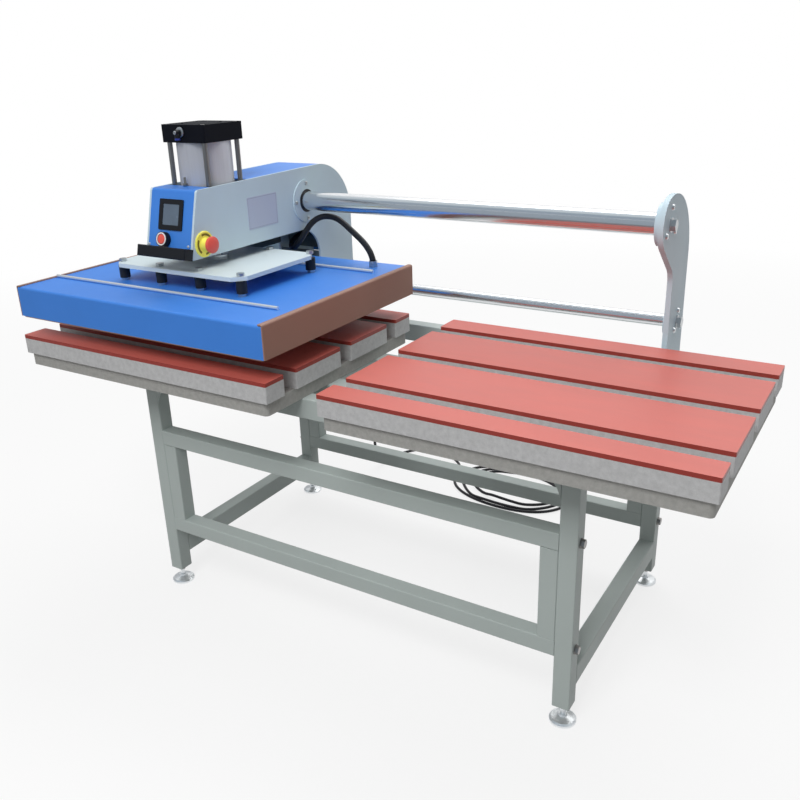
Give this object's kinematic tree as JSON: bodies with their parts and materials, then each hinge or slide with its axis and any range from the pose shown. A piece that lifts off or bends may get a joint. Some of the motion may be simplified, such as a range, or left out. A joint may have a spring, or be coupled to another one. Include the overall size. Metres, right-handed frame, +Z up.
{
  "type": "dual station heat press",
  "caption": "Pneumatic heat press on a tube stand: a heated head on an overhead arm slides along two rods from one slatted table to the other.",
  "frame": {"origin": "on the floor, under the middle of the press, measured without the cord", "axes": "+X to the operator's right along the guide rods, +Y to the back, +Z up"},
  "size_m": [1.733, 1.2418, 1.234],
  "materials": {
    "stand_paint": "semi-gloss powder coat, grey-green",
    "arm_paint": "semi-gloss powder coat, light blue-grey",
    "mount_paint": "semi-gloss powder coat, pale grey",
    "blue_paint": "fine-texture powder coat, blue",
    "brown_laminate": "satin brown",
    "cast_aluminium": "as cast, dull",
    "drawn_aluminium": "drawn tube, satin",
    "black_anodised": "black anodised",
    "red_silicone": "matt silicone sheet",
    "rod_chrome": "hard chrome, ground",
    "foot_chrome": "bright",
    "zinc_steel": "zinc plated",
    "dark_steel": "oiled",
    "bearing_steel": "ground",
    "black_rubber": "matt",
    "cord_rubber": "matt sheath",
    "black_plastic": "fine texture",
    "screen_grey": "unlit display",
    "red_plastic": "gloss",
    "yellow_plastic": "gloss",
    "ceramic_wool": "loose fibre board"
  },
  "bodies": {
    "root": {"legs": "stand_paint", "lower_rails": "stand_paint", "side_uprights": "stand_paint", "top_rails": "stand_paint", "table_bearers": "stand_paint", "stand_fasteners": "zinc_steel", "table_tray_left": "cast_aluminium", "table_tray_right": "cast_aluminium", "table_slats_left": "cast_aluminium", "table_slats_right": "cast_aluminium", "silicone_pads_left": "red_silicone", "silicone_pads_right": "red_silicone", "end_plate_left": "arm_paint", "end_plate_right": "arm_paint", "upper_guide_rod": "rod_chrome", "lower_guide_rod": "rod_chrome", "rod_collars": "arm_paint", "rod_end_fasteners": "zinc_steel"},
    "carriage": {"side_plate_left": "arm_paint", "side_plate_right": "arm_paint", "front_panel": "blue_paint", "top_cover": "blue_paint", "guide_bearings": "bearing_steel", "bearing_flanges": "arm_paint", "rod_wipers": "black_rubber", "valve_box": "black_plastic", "cylinder_base": "black_anodised", "cylinder_tube": "drawn_aluminium", "cylinder_cap": "black_anodised", "cylinder_tie_rods": "dark_steel", "air_fitting": "zinc_steel", "controller": "black_plastic", "display_bezel": "black_plastic", "display_screen": "screen_grey", "start_button_housing": "black_plastic", "estop_housing": "yellow_plastic", "pull_handle": "black_plastic", "cord_gland": "black_plastic", "power_cord": "cord_rubber", "cord_coil": "cord_rubber", "cord_plug": "black_plastic"},
    "start_button": {"start_button_cap": "red_plastic"},
    "estop_plunger": {"estop_plunger": "zinc_steel"},
    "estop_head": {"estop_head": "red_plastic"},
    "platen": {"piston_rod": "rod_chrome", "mount_plate": "mount_paint", "rubber_standoffs": "black_rubber", "mount_bolts": "zinc_steel", "heater_cover": "blue_paint", "cover_end_caps": "brown_laminate", "trim_rods": "zinc_steel", "insulation": "ceramic_wool", "heat_platen": "cast_aluminium", "hose_connector": "zinc_steel", "hose": "black_rubber"},
    "foot_left_front": {"foot_left_front": "foot_chrome"},
    "foot_left_rear": {"foot_left_rear": "foot_chrome"},
    "foot_right_front": {"foot_right_front": "foot_chrome"},
    "foot_right_rear": {"foot_right_rear": "foot_chrome"}
  },
  "joints": [
    {"name": "carriage_slide", "type": "slide", "parent": "root", "child": "carriage", "axis": [1, 0, 0], "range_m": [0, 0.91]},
    {"name": "press_stroke", "type": "slide", "parent": "carriage", "child": "platen", "axis": [0, 0, -1], "range_m": [0, 0.05], "deforming": ["hose"]},
    {"name": "start_button_press", "type": "slide", "parent": "carriage", "child": "start_button", "axis": [0, 0.966, -0.2584], "range_m": [0, 0.003], "stiffness_N_per_m": 400},
    {"name": "estop_press", "type": "slide", "parent": "carriage", "child": "estop_plunger", "axis": [-1, 0, 0], "range_m": [0, 0.004], "stiffness_N_per_m": 600},
    {"name": "estop_twist", "type": "hinge", "parent": "estop_plunger", "child": "estop_head", "pos_m": [-0.38, -0.21, 0.968], "axis": [-1, 0, 0], "range_deg": [0, 45], "stiffness_Nm_per_rad": 0.05},
    {"name": "foot_left_front_screw", "type": "hinge", "parent": "root", "child": "foot_left_front", "pos_m": [-0.572, -0.2475, 0], "axis": [0, 0, 1], "continuous": true},
    {"name": "foot_left_rear_screw", "type": "hinge", "parent": "root", "child": "foot_left_rear", "pos_m": [-0.572, 0.3675, 0], "axis": [0, 0, 1], "continuous": true},
    {"name": "foot_right_front_screw", "type": "hinge", "parent": "root", "child": "foot_right_front", "pos_m": [0.572, -0.2475, 0], "axis": [0, 0, 1], "continuous": true},
    {"name": "foot_right_rear_screw", "type": "hinge", "parent": "root", "child": "foot_right_rear", "pos_m": [0.572, 0.3675, 0], "axis": [0, 0, 1], "continuous": true}
  ]
}
